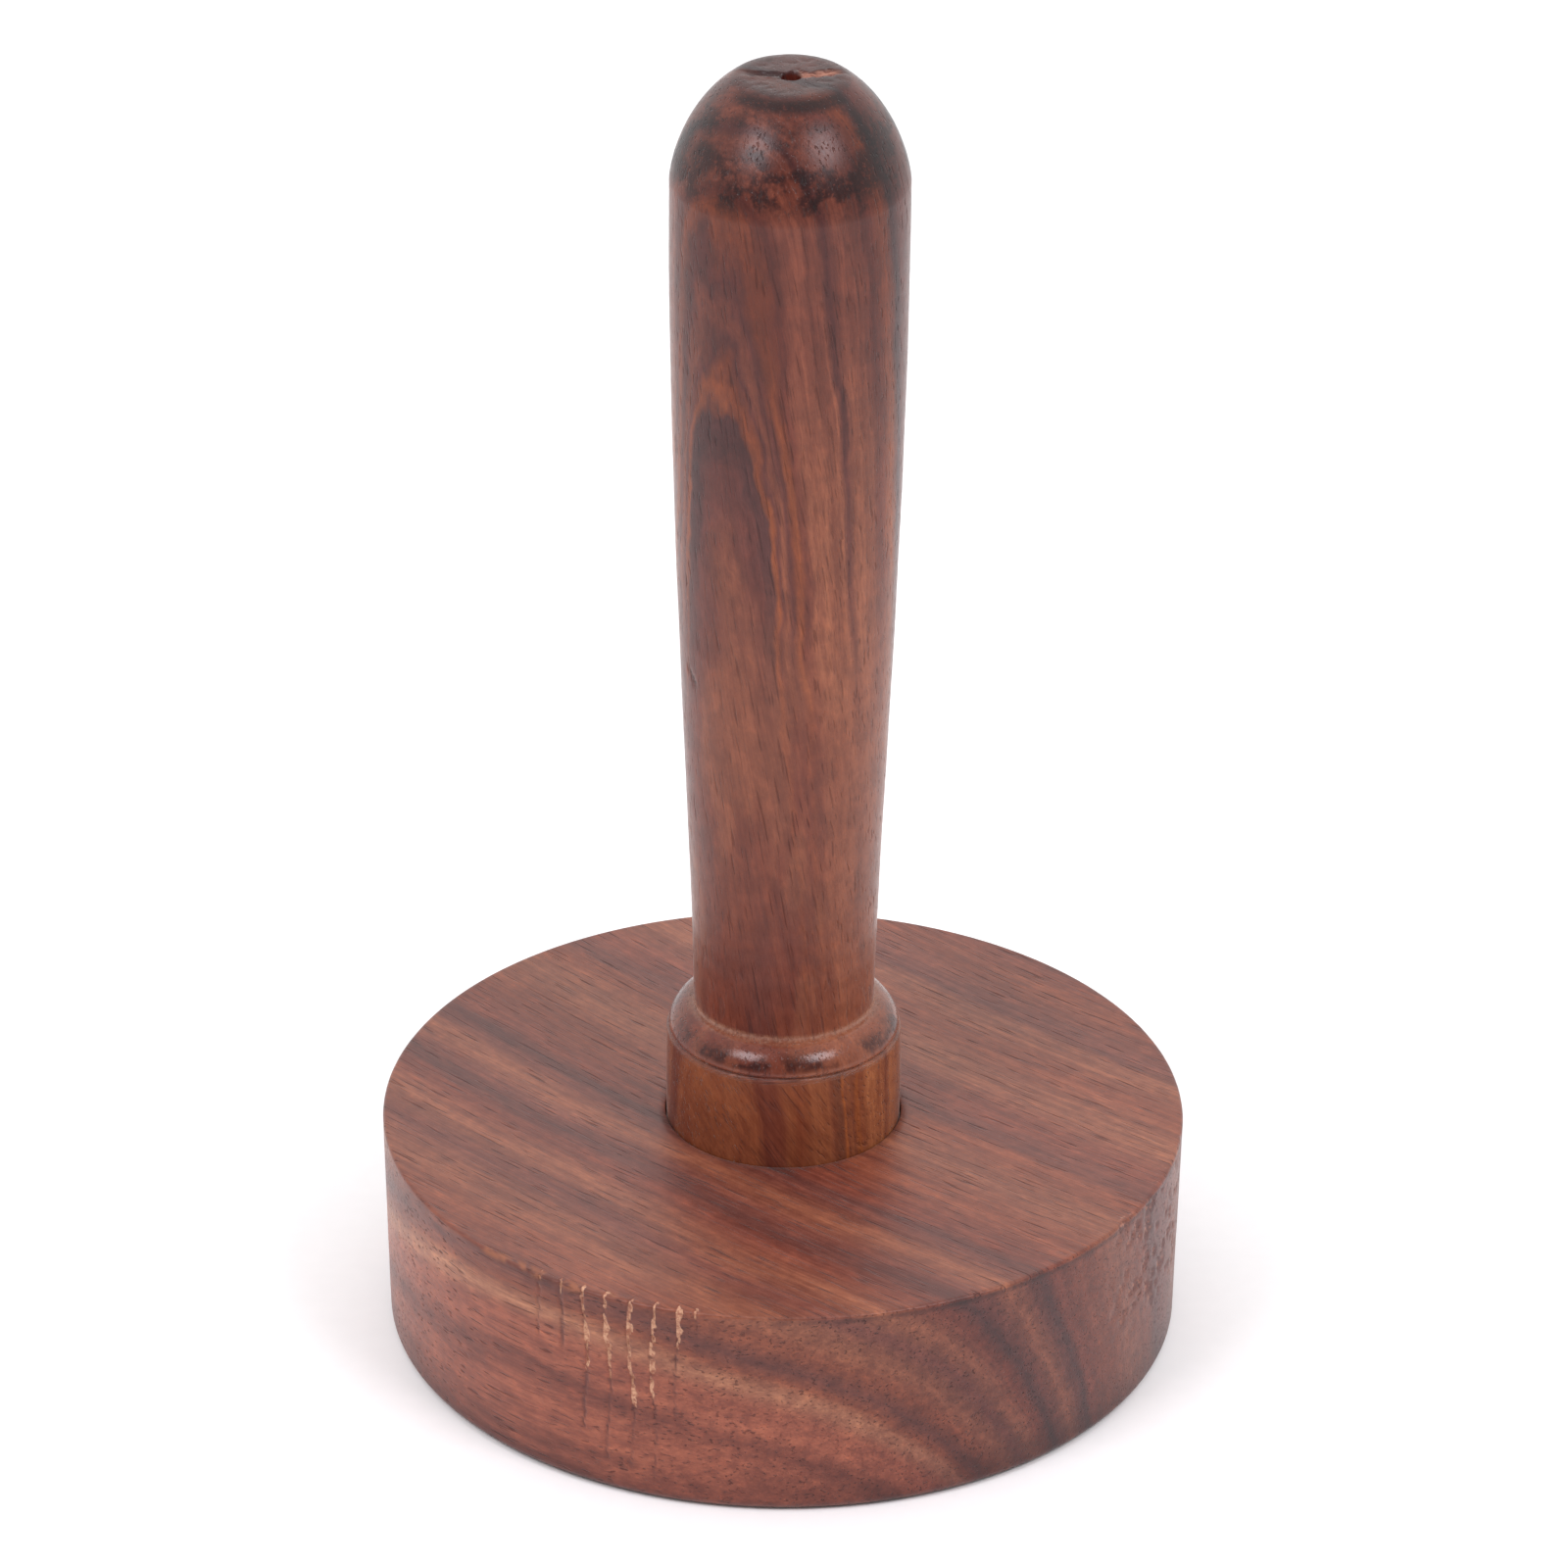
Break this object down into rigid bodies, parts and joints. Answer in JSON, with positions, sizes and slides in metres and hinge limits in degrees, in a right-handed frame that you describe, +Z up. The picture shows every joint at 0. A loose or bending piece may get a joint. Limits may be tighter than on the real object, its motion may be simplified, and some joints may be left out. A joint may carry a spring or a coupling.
{
  "type": "wooden mallet",
  "caption": "Turned hardwood hand mallet: an upright round-topped grip set in the middle of a thick disc head whose flat underside strikes the work.",
  "frame": {"origin": "centre of the flat striking face, on which the mallet stands", "axes": "+Z up along the handle, +X to the viewer's right, +Y away from the viewer"},
  "size_m": [0.1, 0.1, 0.1688],
  "materials": {
    "head_wood": "satin lacquer over straight-grained reddish-brown hardwood",
    "handle_wood": "satin lacquer over dark-figured reddish-brown hardwood, end grain darker on the dome",
    "plug_wood": "satin lacquered face grain",
    "screw_steel": "plain zinc-plated steel"
  },
  "bodies": {
    "root": {"head_disc": "head_wood", "handle": "handle_wood", "screw_plug": "plug_wood", "wood_screw": "screw_steel"}
  },
  "joints": []
}
